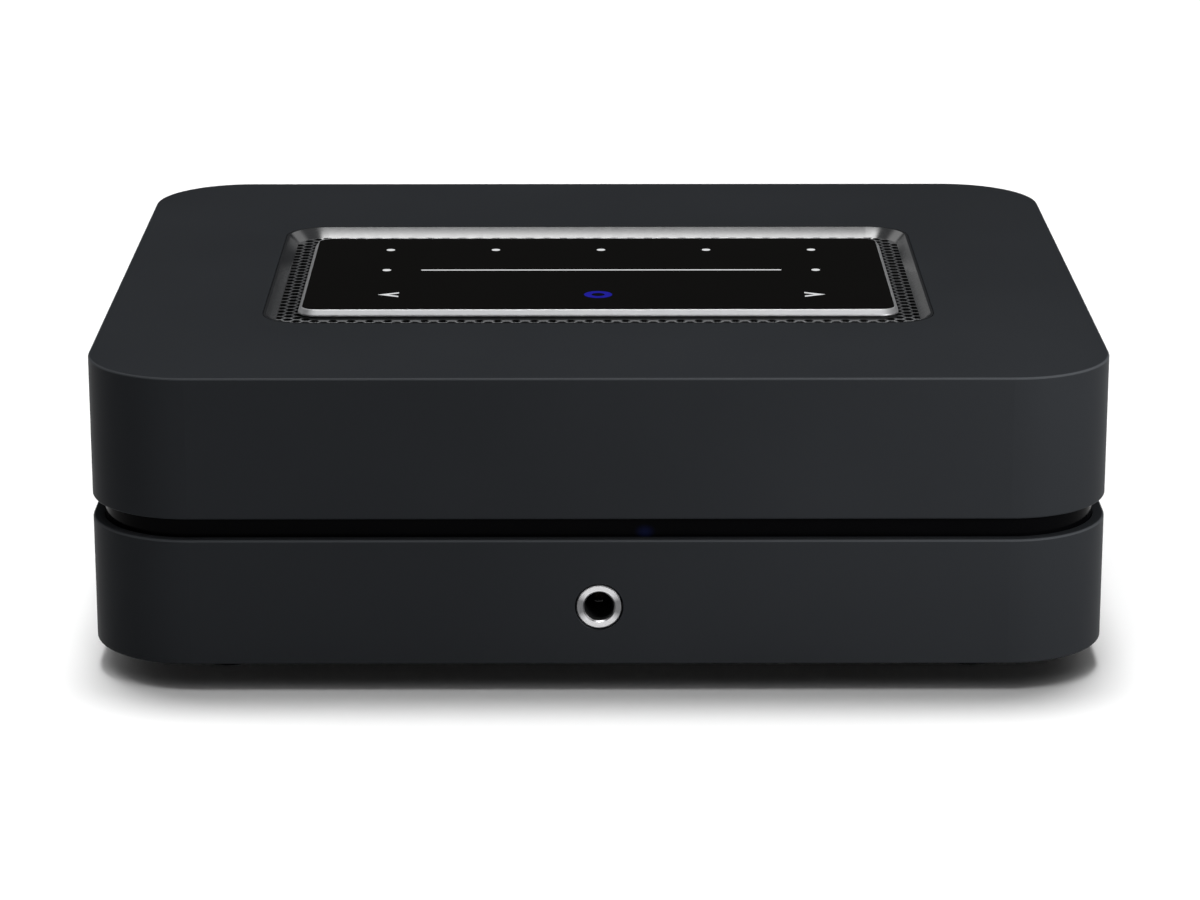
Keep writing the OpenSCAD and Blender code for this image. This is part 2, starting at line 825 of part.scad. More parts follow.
module panel_carrier() {
    floor_t = arm_t;
    color("#141416") difference() {
        union() {
            translate([0, well_y, z_carrier0])
                linear_extrude(z_frame0 - z_carrier0)
                    rounded(neck_w, neck_d, neck_r);
            translate([0, well_y, z_carrier0])
                linear_extrude(z_grille0 - z_carrier0)
                    rounded(neck_w + 2 * shoulder, neck_d + 2 * shoulder, neck_r + shoulder);
            for (y = [-1, 1])
                translate([0, well_y + y * arm_y, z_carrier0 + arm_t / 2])
                    cube([2 * arm_x + arm_w, arm_w, arm_t], center = true);
        }
        difference() {
            translate([0, well_y, z_carrier0 + floor_t])
                linear_extrude(carrier_h)
                    rounded(cavity_w, cavity_d, neck_r);
            at_touch_posts()
                cylinder(h = z_touch0 - z_carrier0, r = touch_post_r);
        }
        translate([0, ribbon_y, z_carrier0])
            cube([ribbon_w + 2 * cut_slip, ribbon_t + 2 * cut_slip, 4 * arm_t], center = true);
        at_arms()
            translate([0, 0, z_carrier0 - eps])
                cylinder(h = arm_t + 2 * eps, r = hole_r);
    }
}

// A child at each post that carries the touch board
module at_touch_posts() {
    for (x = [-1, 1], y = [-1, 1])
        translate([
            x * (cavity_w / 2 - 2 * touch_post_r),
            well_y + y * (cavity_d / 2 - 2 * touch_post_r),
            z_carrier0
        ])
            children();
}

module carrier_screws() {
    color("#3a3b3d")
        at_arms()
            translate([0, 0, z_carrier0])
                mirror([0, 0, 1])
                    screw(carrier_h - top_t - touch_gap);
}

module touch_board() {
    color("#1d3a28")
        translate([0, well_y, z_touch0])
            linear_extrude(touch_t)
                rounded(cavity_w - 2 * cavity_slip, cavity_d - 2 * cavity_slip, neck_r);
}

module touch_ribbon() {
    color("#d9d4c4")
        translate([-ribbon_w / 2, ribbon_y - ribbon_t / 2, z_board1 + header_h])
            cube([ribbon_w, ribbon_t, z_touch0 - z_board1 - header_h]);
}

// Headphone jack and front board

module jack_ring() {
    color("#c9c9cb")
        translate([0, y_front + jack_sink, jack_z])
            rotate([-90, 0, 0])
                rotate_extrude()
                    polygon([
                        [jack_bore_r + jack_chamfer, 0],
                        [jack_ring_r, 0],
                        [jack_ring_r, jack_groove_h],
                        [jack_rim_in, jack_groove_h],
                        [jack_rim_in, jack_rim_drop],
                        [jack_rim_r, jack_rim_drop + jack_rim_r - jack_rim_in],
                        [jack_rim_r, wall - jack_sink],
                        [jack_bore_r, wall - jack_sink],
                        [jack_bore_r, jack_chamfer]
                    ]);
}

module headphone_jack() {
    color("#131314") difference() {
        translate([-jack_w / 2, y_front_in, z_jack_board1])
            cube([jack_w, jack_l, jack_body_h]);
        translate([0, y_front_in - eps, jack_z])
            rotate([-90, 0, 0])
                cylinder(h = jack_bore_l + eps, r = jack_bore_r);
        for (turn = [0, 180])
            translate([0, y_front_in + leaf_start, jack_z])
                rotate([0, turn, 0])
                    translate([-leaf[0] / 2, 0, 0])
                        cube([leaf[0], leaf[1], jack_bore_r + leaf_slot]);
    }
}

module jack_contacts() {
    color("#c8a24a")
        for (turn = [0, 180])
            translate([0, y_front_in + leaf_start, jack_z])
                rotate([0, turn, 0])
                    translate([-leaf[0] / 2, 0, jack_bore_r + leaf_slot - leaf[2]])
                        cube(leaf);
}

module jack_board() {
    rect = [-jack_board_w / 2, y_front_in + slip, jack_board_w / 2, y_front_in + jack_board_l];
    color("#1d3a28")
        board(rect, z_flange1, jack_board_holes);
}

module front_board() {
    color("#1d3a28")
        translate([-front_board_size[0] / 2, y_front + band_in + band_t + slip, z_shelf])
            cube(front_board_size);
}

// A part on the front board, just behind the groove band
module behind_band(x, size) {
    translate([x - size[0] / 2, y_front + band_in + band_t + slip, z_shelf + front_board_size[2]])
        cube(size);
}

module status_led() {
    color("#cfd8e6")
        behind_band(status_x, status_size);
}

module ir_receiver() {
    color("#1a1416")
        behind_band(-status_x, receiver_size);
}

// Rear panel and its sockets

// The front outline of the mains recess
module recess_outline() {
    for (side = [-1, 1])
        translate([side * pin_pitch / 2, 0])
            circle(inlet_end_r);
    square([pin_pitch, 1.5 * inlet_end_r], center = true);
}

// The shape of the video socket's mouth, narrower below
module video_outline(inset) {
    half = hdmi_size[0] / 2 - inset;
    low = inset;
    high = hdmi_size[2] - inset;
    slant = 1.6;
    polygon([
        [-half + slant, low],
        [half - slant, low],
        [half, low + slant],
        [half, high],
        [-half, high],
        [-half, low + slant]
    ]);
}

module rear_panel() {
    color("#17181a") difference() {
        translate([-rear_w / 2, y_rear_in, window_z0 - rear_lap])
            cube([rear_w, rear_t, window_z1 - window_z0 + 2 * rear_lap]);
        at_rear_screws()
            translate([0, 0, -rear_t - eps])
                cylinder(h = rear_t + 2 * eps, r = hole_r);
        for (post = [0 : 3])
            on_rear(row_x(post), row_z)
                translate([0, 0, -rear_t - eps])
                    cylinder(h = rear_t + 2 * eps, r = spigot_r + slip);
        panel_cut(lan_x, lan_size);
        panel_cut(hdmi_x, hdmi_size);
        panel_cut(usb_x, usb_size);
        on_rear(phono_x, row_z)
            translate([0, 0, -rear_t - eps])
                cylinder(h = rear_t + 2 * eps, r = phono_r + phono_wall + slip);
        on_rear(line_x, z_board1 + line_z)
            translate([0, 0, -rear_t - eps])
                cylinder(h = rear_t + 2 * eps, r = line_nose_r + slip);
        translate([inlet_x, y_rear, row_z])
            cube([inlet_body[0] + 2 * slip, 4 * rear_t, inlet_body[2] + 2 * slip], center = true);
    }
}

// A cut in the rear panel for a socket that stands on the main board
module panel_cut(x, size) {
    translate([x - size[0] / 2 - cut_slip, y_rear_in - eps, z_board1 - cut_slip])
        cube([size[0] + 2 * cut_slip, rear_t + 2 * eps, size[2] + 2 * cut_slip]);
}

module rear_screws() {
    color("#2e2f31")
        at_rear_screws()
            screw(rear_t + rear_boss_d - slip);
}

module mains_inlet() {
    color("#101011")
        on_rear(inlet_x, row_z)
            difference() {
                union() {
                    linear_extrude(inlet_flange[1])
                        rounded(inlet_flange[0], inlet_flange[2], 2 * edge_r);
                    translate([0, 0, -inlet_body[1]])
                        linear_extrude(inlet_body[1] + inlet_flange[1] / 2)
                            square([inlet_body[0], inlet_body[2]], center = true);
                }
                translate([0, 0, inlet_flange[1] - inlet_depth])
                    linear_extrude(inlet_depth + eps)
                        recess_outline();
                for (side = [-1, 1])
                    translate([side * pin_pitch / 2, 0, -inlet_body[1] - eps])
                        cylinder(h = inlet_body[1], r = pin_r + stud_slip);
            }
}

module mains_pins() {
    color("#c9c9cb")
        on_rear(inlet_x, row_z)
            for (side = [-1, 1])
                translate([side * pin_pitch / 2, 0, -inlet_body[1] - pin_tail])
                    cylinder(h = inlet_body[1] + pin_tail + inlet_flange[1] - pin_sink, r = pin_r);
}

module lan_socket() {
    mouth_z = (lan_size[2] - lan_mouth[2]) / 2;
    color("#b4b6b8")
        translate([lan_x, y_rear + socket_proud, z_board1])
            difference() {
                translate([-lan_size[0] / 2, -lan_size[1], 0])
                    cube(lan_size);
                translate([-lan_mouth[0] / 2, -lan_mouth[1], mouth_z])
                    cube([lan_mouth[0], lan_mouth[1] + eps, lan_mouth[2]]);
                translate([-lan_notch[0] / 2, -lan_mouth[1], mouth_z - lan_notch[1]])
                    cube([lan_notch[0], lan_mouth[1] + eps, lan_mouth[2]]);
            }
}

module usb_socket() {
    color("#b4b6b8")
        translate([usb_x, y_rear + socket_proud, z_board1]) {
            difference() {
                translate([-usb_size[0] / 2, -usb_size[1], 0])
                    cube(usb_size);
                translate([-usb_size[0] / 2 + shell_t, -usb_size[1] + 3 * shell_t, shell_t])
                    cube([usb_size[0] - 2 * shell_t, usb_size[1], usb_size[2] - 2 * shell_t]);
            }
            translate([
                -usb_size[0] / 2 + 2 * shell_t,
                -usb_size[1] + shell_t,
                usb_size[2] - 3 * tongue_t / 2 - shell_t
            ])
                cube([usb_size[0] - 4 * shell_t, usb_size[1] - 3 * shell_t, tongue_t]);
        }
}

module hdmi_socket() {
    color("#b4b6b8")
        translate([hdmi_x, y_rear + socket_proud, z_board1])
            rotate([90, 0, 0]) {
                difference() {
                    linear_extrude(hdmi_size[1])
                        video_outline(0);
                    translate([0, 0, -eps])
                        linear_extrude(hdmi_size[1] - 2 * shell_t + eps)
                            video_outline(shell_t);
                }
                translate([-hdmi_size[0] / 2 + 4 * shell_t, (hdmi_size[2] - tongue_t) / 2, 2 * shell_t])
                    cube([hdmi_size[0] - 8 * shell_t, tongue_t, hdmi_size[1] - 3 * shell_t]);
            }
}

module sub_out_socket() {
    color("#b9a25a") {
        translate([phono_x - phono_w / 2, y_rear_in - phono_d, z_board1])
            cube([phono_w, phono_d, row_z - z_board1 + phono_w / 2]);
        on_rear(phono_x, row_z)
            difference() {
                union() {
                    cylinder(h = phono_l, r = phono_r);
                    translate([0, 0, -rear_t - phono_wall])
                        cylinder(h = rear_t + phono_wall + phono_collar, r = phono_r + phono_wall);
                }
                cylinder(h = phono_l + eps, r = phono_r - phono_wall);
            }
    }
}

module sub_out_core() {
    color("#5b3b8c")
        on_rear(phono_x, row_z)
            difference() {
                cylinder(h = phono_l - phono_wall, r = phono_r - phono_wall - stud_slip);
                translate([0, 0, phono_wall])
                    cylinder(h = phono_l, r = phono_bore_r);
            }
}

module line_in_socket() {
    color("#131314")
        difference() {
            union() {
                translate([line_x - line_w / 2, y_rear_in - line_d, z_board1])
                    cube([line_w, line_d, 2 * line_z]);
                on_rear(line_x, z_board1 + line_z)
                    translate([0, 0, -rear_t - eps])
                        cylinder(h = rear_t + eps + socket_proud, r = line_nose_r);
            }
            on_rear(line_x, z_board1 + line_z)
                translate([0, 0, -rear_t - line_d + eps])
                    cylinder(h = line_d + rear_t, r = line_bore_r);
        }
}

// Speaker posts

// A child on each post's axis, with z = 0 on the rear panel's face
module at_posts() {
    for (post = [0 : 3])
        on_rear(row_x(post), row_z)
            children();
}

module post_flanges() {
    color("#151516")
        at_posts()
            rotate_extrude()
                polygon([
                    [stud_r + stud_slip, -rear_t],
                    [spigot_r, -rear_t],
                    [spigot_r, 0],
                    [post_r, 0],
                    [post_r, post_flange_t - knob_edge],
                    [post_r - knob_edge, post_flange_t],
                    [stud_r + stud_slip, post_flange_t]
                ]);
}

module post_studs() {
    stud_top = y_knob - y_rear - knob_edge;
    color("#c2a35c")
        at_posts()
            difference() {
                translate([0, 0, -rear_t - stud_tail])
                    cylinder(h = stud_top + rear_t + stud_tail, r = stud_r);
                translate([0, 0, stud_top - plug_bore_l])
                    cylinder(h = plug_bore_l + eps, r = plug_bore_r);
                translate([0, 0, post_flange_t + wire_hole_r + slip])
                    rotate([90, 0, 0])
                        cylinder(h = 4 * stud_r, r = wire_hole_r, center = true);
            }
}

module post_nuts() {
    color("#b4b6b8")
        at_posts()
            translate([0, 0, -rear_t - nut_t])
                difference() {
                    cylinder(h = nut_t, r = nut_r, $fn = 6);
                    translate([0, 0, -eps])
                        cylinder(h = nut_t + 2 * eps, r = stud_r + stud_slip);
                }
}

module post_washer(post) {
    color("#c2a35c")
        on_rear(row_x(post), row_z)
            translate([0, 0, post_flange_t])
                difference() {
                    cylinder(h = washer_t, r = washer_r);
                    translate([0, 0, -eps])
                        cylinder(h = washer_t + 2 * eps, r = stud_r + thread_gap);
                }
}

module post_knob(post, tint) {
    color(tint)
        on_rear(row_x(post), row_z)
            translate([0, 0, post_flange_t + washer_t])
                difference() {
                    rotate_extrude()
                        polygon([
                            [stud_r + thread_gap, 0],
                            [knob_r - knob_edge, 0],
                            [knob_r, knob_edge],
                            [knob_r, knob_l - knob_edge],
                            [knob_r - knob_edge, knob_l],
                            [stud_r + thread_gap, knob_l]
                        ]);
                    for (i = [0 : knob_flutes - 1])
                        rotate(360 * i / knob_flutes)
                            translate([knob_r + flute_r / 2, 0, -eps])
                                cylinder(h = knob_l - 2 * knob_edge + eps, r = flute_r);
                }
}

// Circuit boards and what they carry

module main_board() {
    color("#1d3a28") {
        board(main_rect, z_board0, main_holes);
        on_board(0, ribbon_y, [ribbon_w + 4, 4, header_h]);
    }
}

module processor_shield() {
    color("#b4b6b8")
        translate([main_mid[0], main_mid[1], z_board1])
            difference() {
                translate([-shield[0] / 2, -shield[1] / 2, 0])
                    cube(shield);
                translate([-shield[0] / 2 + shield_t, -shield[1] / 2 + shield_t, -eps])
                    cube([shield[0] - 2 * shield_t, shield[1] - 2 * shield_t, shield[2] - shield_t + eps]);
            }
}

module wifi_module() {
    color("#8d9093")
        on_board(
            main_rect[0] + radio[0] / 2 + hole_inset,
            main_mid[1] - (shield[1] + board_gap + radio[1]) / 2,
            radio
        );
}

module wifi_antennas() {
    color("#b5893c")
        for (side = [-1, 1])
            translate([
                side * (body_w / 2 - wall - antenna[0] / 2),
                0,
                z_up0 + band_lap + groove_h + antenna[2] / 2
            ])
                cube(antenna, center = true);
}

module power_board() {
    color("#6a4a22")
        board(power_rect, z_board0, power_holes);
}

module power_transformer() {
    core = transformer[2] / 3;
    color("#3c3a36")
        translate([power_mid[0], power_mid[1], z_board1]) {
            translate([-transformer[0] / 2, -transformer[1] / 4, 0])
                cube([transformer[0], transformer[1] / 2, transformer[2]]);
            translate([-transformer[0] / 3, -transformer[1] / 2, core / 2])
                cube([2 * transformer[0] / 3, transformer[1], 2 * core]);
        }
}

module smoothing_capacitors() {
    color("#20242c")
        for (i = [-1, 1])
            translate([
                power_mid[0] + i * (capacitor_r + board_gap / 2),
                power_mid[1] - transformer[1] / 2 - capacitor_r - board_gap,
                z_board1
            ])
                rotate_extrude()
                    polygon([
                        [0, 0],
                        [capacitor_r, 0],
                        [capacitor_r, capacitor_h - edge_r],
                        [capacitor_r - edge_r, capacitor_h],
                        [0, capacitor_h]
                    ]);
}

module mains_choke() {
    color("#8a6d35")
        on_board(power_mid[0], power_mid[1] + transformer[1] / 2 + choke[1] / 2 + board_gap, choke);
}

module amp_board() {
    color("#1d3a28")
        board(amp_rect, z_board0, amp_holes);
}

module amp_chips() {
    color("#1a1a1c")
        for (side = [-1, 1])
            on_board(amp_mid[0], amp_mid[1] + side * chip[1], chip);
}

module heat_sink() {
    color("#9a9da1")
        translate([amp_mid[0] - sink[0] / 2, amp_mid[1] - sink[1] / 2, z_board1 + chip[2]]) {
            cube([sink[0], sink[1], sink_base]);
            for (i = [0 : fins - 1])
                translate([i * (sink[0] - fin_t) / (fins - 1), 0, 0])
                    cube([fin_t, sink[1], sink[2]]);
        }
}

module output_chokes() {
    color("#2a2a2c")
        for (side = [-1, 1])
            on_board(
                amp_mid[0] + side * output_choke[0],
                amp_mid[1] + sink[1] / 2 + output_choke[1] / 2 + board_gap,
                output_choke
            );
}

module standoffs() {
    color("#b9a25a") {
        for (holes = [main_holes, power_holes, amp_holes])
            at_points(holes)
                standoff(standoff_h);
        at_points(jack_board_holes)
            standoff(flange_t);
    }
}

// One hexagonal standoff on the base plate
module standoff(height) {
    translate([0, 0, z_base1])
        difference() {
            cylinder(h = height, r = standoff_r, $fn = 6);
            translate([0, 0, -eps])
                cylinder(h = height + 2 * eps, r = hole_r);
        }
}

module board_screws() {
    color("#b4b6b8") {
        for (holes = [main_holes, power_holes, amp_holes])
            at_points(holes)
                translate([0, 0, z_board1])
                    screw(board_t + standoff_h - slip);
        at_points(jack_board_holes)
            translate([0, 0, z_jack_board1])
                screw(board_t + flange_t - slip);
    }
}

// Sets the middle of the whole length, posts included, over the origin
module place() {
    translate([0, -rear_reach / 2, 0])
        children();
}

place() upper_shell();
place() lower_shell();
place() groove_band();
place() base_plate();
place() case_screws();
place() feet();
place() foot_screws();
place() vent_surround();
place() vent_grille();
place() panel_frame();
place() panel_glass();
place() panel_carrier();
place() carrier_screws();
place() touch_board();
place() touch_ribbon();
place() jack_ring();
place() headphone_jack();
place() jack_contacts();
place() jack_board();
place() front_board();
place() status_led();
place() ir_receiver();
place() rear_panel();
place() rear_screws();
place() mains_inlet();
place() mains_pins();
place() lan_socket();
place() usb_socket();
place() hdmi_socket();
place() sub_out_socket();
place() sub_out_core();
place() line_in_socket();
place() post_flanges();
place() post_studs();
place() post_nuts();
place() post_washer(0);  // post_washer_1
place() post_washer(1);  // post_washer_2
place() post_washer(2);  // post_washer_3
place() post_washer(3);  // post_washer_4
place() post_knob(0, "#1a1a1b");  // post_knob_1
place() post_knob(1, "#a3201f");  // post_knob_2
place() post_knob(2, "#a3201f");  // post_knob_3
place() post_knob(3, "#1a1a1b");  // post_knob_4
place() main_board();
place() processor_shield();
place() wifi_module();
place() wifi_antennas();
place() power_board();
place() power_transformer();
place() smoothing_capacitors();
place() mains_choke();
place() amp_board();
place() amp_chips();
place() heat_sink();
place() output_chokes();
place() standoffs();
place() board_screws();
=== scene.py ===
import json
import math

import bmesh
import bpy
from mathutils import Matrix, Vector


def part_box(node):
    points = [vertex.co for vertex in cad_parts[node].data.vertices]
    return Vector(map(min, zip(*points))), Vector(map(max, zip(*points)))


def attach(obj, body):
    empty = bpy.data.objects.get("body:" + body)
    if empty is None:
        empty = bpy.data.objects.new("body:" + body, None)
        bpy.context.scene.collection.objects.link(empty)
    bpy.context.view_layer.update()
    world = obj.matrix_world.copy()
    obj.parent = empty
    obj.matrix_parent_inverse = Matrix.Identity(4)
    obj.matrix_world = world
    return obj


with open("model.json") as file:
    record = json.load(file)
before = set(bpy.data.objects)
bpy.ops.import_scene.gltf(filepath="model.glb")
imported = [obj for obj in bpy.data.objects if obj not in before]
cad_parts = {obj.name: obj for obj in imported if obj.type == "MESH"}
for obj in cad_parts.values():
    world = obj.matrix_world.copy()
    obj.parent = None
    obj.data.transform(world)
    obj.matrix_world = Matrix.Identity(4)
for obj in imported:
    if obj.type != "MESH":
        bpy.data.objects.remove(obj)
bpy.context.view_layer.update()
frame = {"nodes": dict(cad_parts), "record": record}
nodes = frame["nodes"]
MM = 0.001


# Places taken from the frame, in case millimetres: x and y from the middle of the case, z from the floor

CASE_LOW, CASE_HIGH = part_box("upper_shell")
CASE_MIDDLE = Vector((0, (CASE_LOW.y + CASE_HIGH.y) / 2, 0))


def point(x, y, z):
    """A point in case millimetres, as metres in the frame."""
    return Vector((x, y, z)) * MM + CASE_MIDDLE


def box_mm(node):
    """The lowest and the highest corner of a CAD node in case millimetres."""
    return [(corner - CASE_MIDDLE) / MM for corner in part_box(node)]


def middle_mm(node):
    low, high = box_mm(node)
    return (low + high) / 2


GLASS_TOP = box_mm("panel_glass")[1].z
PANEL_Y = middle_mm("panel_glass").y
PANEL_FRONT = box_mm("panel_frame")[0].y
GRILLE_TOP = box_mm("vent_grille")[1].z
TRIM_TOP = box_mm("vent_surround")[1].z
BAND_FRONT = box_mm("groove_band")[0].y
STATUS_LED = middle_mm("status_led")
JACK_MOUTH = box_mm("headphone_jack")[0].y
JACK_Z = middle_mm("jack_ring").z
REAR_FACE = box_mm("rear_panel")[1].y
POSTS = [middle_mm(f"post_knob_{i}") for i in (1, 2, 3, 4)]


# Steps that build node trees


def link(tree, a, b):
    tree.links.new(a, b)


def new_material(name):
    mat = bpy.data.materials.new(name)
    mat.use_nodes = True
    tree = mat.node_tree
    shader = tree.nodes["Principled BSDF"]
    return mat, tree, shader


def coordinates(tree, stretch=(1, 1, 1)):
    place = tree.nodes.new("ShaderNodeTexCoord")
    mapping = tree.nodes.new("ShaderNodeMapping")
    mapping.inputs["Scale"].default_value = stretch
    link(tree, place.outputs["Object"], mapping.inputs["Vector"])
    return mapping.outputs["Vector"]


def axis_of(tree, vector, axis):
    """One of the numbers X, Y and Z of a vector."""
    split = tree.nodes.new("ShaderNodeSeparateXYZ")
    link(tree, vector, split.inputs["Vector"])
    return split.outputs[axis]


def facing_up(tree):
    """The height of the surface's normal: 1 on a level face, 0 on an upright one."""
    return axis_of(tree, tree.nodes.new("ShaderNodeNewGeometry").outputs["Normal"], "Z")


def noise(tree, vector, per_metre, detail=2.0):
    node = tree.nodes.new("ShaderNodeTexNoise")
    node.inputs["Scale"].default_value = per_metre
    node.inputs["Detail"].default_value = detail
    link(tree, vector, node.inputs["Vector"])
    return node.outputs["Fac"]


def carried(tree, value, from_range, to_range=(0.0, 1.0), smooth=False):
    """A value carried from one range to another and held at its ends."""
    node = tree.nodes.new("ShaderNodeMapRange")
    if smooth:
        node.interpolation_type = "SMOOTHSTEP"
    node.inputs["From Min"].default_value, node.inputs["From Max"].default_value = from_range
    node.inputs["To Min"].default_value, node.inputs["To Max"].default_value = to_range
    link(tree, value, node.inputs["Value"])
    return node.outputs["Result"]


# Most of a noise value lies between these
NOISE_RANGE = (0.3, 0.7)
FINE_DETAIL = 3.0


def spread(tree, value, low, high):
    """A noise value carried to a range."""
    return carried(tree, value, NOISE_RANGE, (low, high))


def colour_ramp(tree, value, stops):
    """Colours along a value from 0 to 1, straight between the stops."""
    ramp = tree.nodes.new("ShaderNodeValToRGB")
    elements = ramp.color_ramp.elements
    for place, _ in stops[1:-1]:
        elements.new(place)
    for element, (place, colour) in zip(elements, stops):
        element.position = place
        element.color = (*colour, 1)
    link(tree, value, ramp.inputs["Fac"])
    return ramp.outputs["Color"]


def grey_ramp(tree, value, stops):
    """Grey levels along a value from 0 to 1."""
    return colour_ramp(tree, value, [(place, (level, level, level)) for place, level in stops])


def two_colours(tree, value, dark, light):
    low, high = NOISE_RANGE
    return colour_ramp(tree, value, ((low, dark), (high, light)))


def mixed(tree, value, first, second):
    """Two colours, each a plain colour or a socket, mixed by a value from 0 to 1."""
    node = tree.nodes.new("ShaderNodeMixRGB")
    link(tree, value, node.inputs["Fac"])
    for name, colour in (("Color1", first), ("Color2", second)):
        if isinstance(colour, bpy.types.NodeSocket):
            link(tree, colour, node.inputs[name])
        else:
            node.inputs[name].default_value = (*colour, 1)
    return node.outputs["Color"]


def vector_step(tree, operation, vector, other=None):
    node = tree.nodes.new("ShaderNodeVectorMath")
    node.operation = operation
    link(tree, vector, node.inputs[0])
    if other is not None:
        node.inputs[1].default_value = other
    return node.outputs["Value" if operation in ("LENGTH", "DOT_PRODUCT") else "Vector"]


def number_step(tree, operation, a, b=None):
    node = tree.nodes.new("ShaderNodeMath")
    node.operation = operation
    link(tree, a, node.inputs[0])
    if b is not None:
        link(tree, b, node.inputs[1])
    return node.outputs["Value"]


def relief(tree, shader, value, depth, strength, edge=0.0):
    """Height over the surface, with the edges broken by a small radius where edge is above 0."""
    bump = tree.nodes.new("ShaderNodeBump")
    bump.inputs["Strength"].default_value = strength
    bump.inputs["Distance"].default_value = depth
    link(tree, value, bump.inputs["Height"])
    if edge > 0:
        rounded = tree.nodes.new("ShaderNodeBevel")
        rounded.samples = 6
        rounded.inputs["Radius"].default_value = edge
        link(tree, rounded.outputs["Normal"], bump.inputs["Normal"])
    link(tree, bump.outputs["Normal"], shader.inputs["Normal"])


# Kinds of finish


def finish_material(
    name,
    colour,
    vary=0.12,
    rough=(0.35, 0.45),
    metallic=0.0,
    grain=3000.0,
    depth=0.00002,
    strength=0.15,
    cloud=60.0,
    stretch=(1, 1, 1),
    specular=0.5,
    edge=0.0,
):
    """A finish with a slow change of colour, an uneven gloss and, if strength is above 0, a fine grain."""
    mat, tree, shader = new_material(name)
    vector = coordinates(tree, stretch)
    slow = noise(tree, vector, cloud)
    fine = noise(tree, vector, grain, FINE_DETAIL)
    dark = [c * (1 - vary) for c in colour]
    light = [min(1.0, c * (1 + vary)) for c in colour]
    link(tree, two_colours(tree, slow, dark, light), shader.inputs["Base Color"])
    link(tree, spread(tree, fine, *rough), shader.inputs["Roughness"])
    if strength > 0:
        relief(tree, shader, fine, depth, strength, edge)
    shader.inputs["Metallic"].default_value = metallic
    shader.inputs["Specular IOR Level"].default_value = specular
    return mat


def lay_over(mat, value, colour):
    """A finish whose colour turns to another one where a value is 1."""
    tree = mat.node_tree
    shader = tree.nodes["Principled BSDF"]
    plain = shader.inputs["Base Color"].links[0].from_socket
    link(tree, mixed(tree, value, plain, colour), shader.inputs["Base Color"])
    return mat


def painted_edge_highlight(mat, colour):
    """A finish with a painted highlight: another colour on the narrow edges between its level and its
    upright faces.
    """
    tree = mat.node_tree
    band = ((0.05, 0), (0.25, 1), (0.9, 1), (0.99, 0))
    return lay_over(mat, grey_ramp(tree, facing_up(tree), band), colour)


def light_behind(mat, centre, reach, colour):
    """A dim light that shows through a finish round one point."""
    tree = mat.node_tree
    shader = tree.nodes["Principled BSDF"]
    offset = vector_step(tree, "SUBTRACT", coordinates(tree), centre)
    scaled = vector_step(tree, "MULTIPLY", offset, [1 / r for r in reach])
    fade = carried(tree, vector_step(tree, "LENGTH", scaled), (0.0, 1.0), (1.0, 0.0), smooth=True)
    link(tree, fade, shader.inputs["Emission Strength"])
    shader.inputs["Emission Color"].default_value = (*colour, 1)
    return mat


def glow_material(name, colour, strength, per_metre):
    """Lit marks, a little uneven as light through ink is."""
    dimmest = 0.85
    lit = ([c * dimmest for c in colour], colour)
    unlit = ((0.001, 0.001, 0.001), (0.003, 0.003, 0.003))
    mat, tree, shader = new_material(name)
    value = noise(tree, coordinates(tree), per_metre)
    link(tree, two_colours(tree, value, *lit), shader.inputs["Emission Color"])
    link(tree, two_colours(tree, value, *unlit), shader.inputs["Base Color"])
    shader.inputs["Emission Strength"].default_value = strength
    shader.inputs["Roughness"].default_value = 0.4
    shader.inputs["Specular IOR Level"].default_value = 0.1
    return mat


def turned_metal_painted_highlight(name, centre, dark, light, rough):
    """Metal turned about an axis along y: fine circles, and a painted highlight that makes it brighter above
    and below the axis than beside it.
    """
    circles_per_metre, depth, strength = 9000.0, 0.000006, 0.2
    mat, tree, shader = new_material(name)
    offset = vector_step(tree, "SUBTRACT", coordinates(tree), centre)
    across = vector_step(tree, "MULTIPLY", offset, (1, 0, 1))
    circles = tree.nodes.new("ShaderNodeTexNoise")
    circles.noise_dimensions = "1D"
    circles.inputs["Scale"].default_value = circles_per_metre
    link(tree, vector_step(tree, "LENGTH", across), circles.inputs["W"])
    # Painted highlight: the colour is lighter above and below the axis than beside it
    upright = number_step(tree, "ABSOLUTE", axis_of(tree, vector_step(tree, "NORMALIZE", across), "Z"))
    link(tree, two_colours(tree, upright, dark, light), shader.inputs["Base Color"])
    link(tree, spread(tree, circles.outputs["Fac"], *rough), shader.inputs["Roughness"])
    relief(tree, shader, circles.outputs["Fac"], depth, strength)
    shader.inputs["Metallic"].default_value = 1.0
    return mat


def coved_material(name, colour, rough, foot, top, depth):
    """Polished plastic, shaded as if its wall curved from its foot to its upper edge."""
    mat = finish_material(
        name, colour, vary=0.04, rough=rough, grain=700.0, strength=0.0, cloud=30.0, specular=1.0,
    )
    tree = mat.node_tree
    shader = tree.nodes["Principled BSDF"]
    rise = carried(tree, axis_of(tree, coordinates(tree), "Z"), (foot * MM, top * MM))
    relief(tree, shader, number_step(tree, "MULTIPLY", rise, rise), depth, strength=1.0)
    shader.inputs["IOR"].default_value = 1.8
    return mat


def punched_material(name, edge, face, front_highlight, highlight_rows, rough):
    """Painted sheet, with painted shade on its punched edges and a painted highlight in its front rows."""
    grain, depth, strength = 2600.0, 0.00002, 0.1
    mat, tree, shader = new_material(name)
    vector = coordinates(tree)
    fine = noise(tree, vector, grain, FINE_DETAIL)
    front = carried(tree, axis_of(tree, vector, "Y"), [point(0, y, 0).y for y in highlight_rows])
    # Painted shade: the upright walls of the holes take the dark edge colour
    level = grey_ramp(tree, facing_up(tree), ((0.3, 0), (0.7, 1)))
    # Painted highlight: the front rows take a lighter colour than the rest of the face
    lit = mixed(tree, front, face, front_highlight)
    link(tree, mixed(tree, level, edge, lit), shader.inputs["Base Color"])
    link(tree, spread(tree, fine, *rough), shader.inputs["Roughness"])
    relief(tree, shader, fine, depth, strength)
    return mat


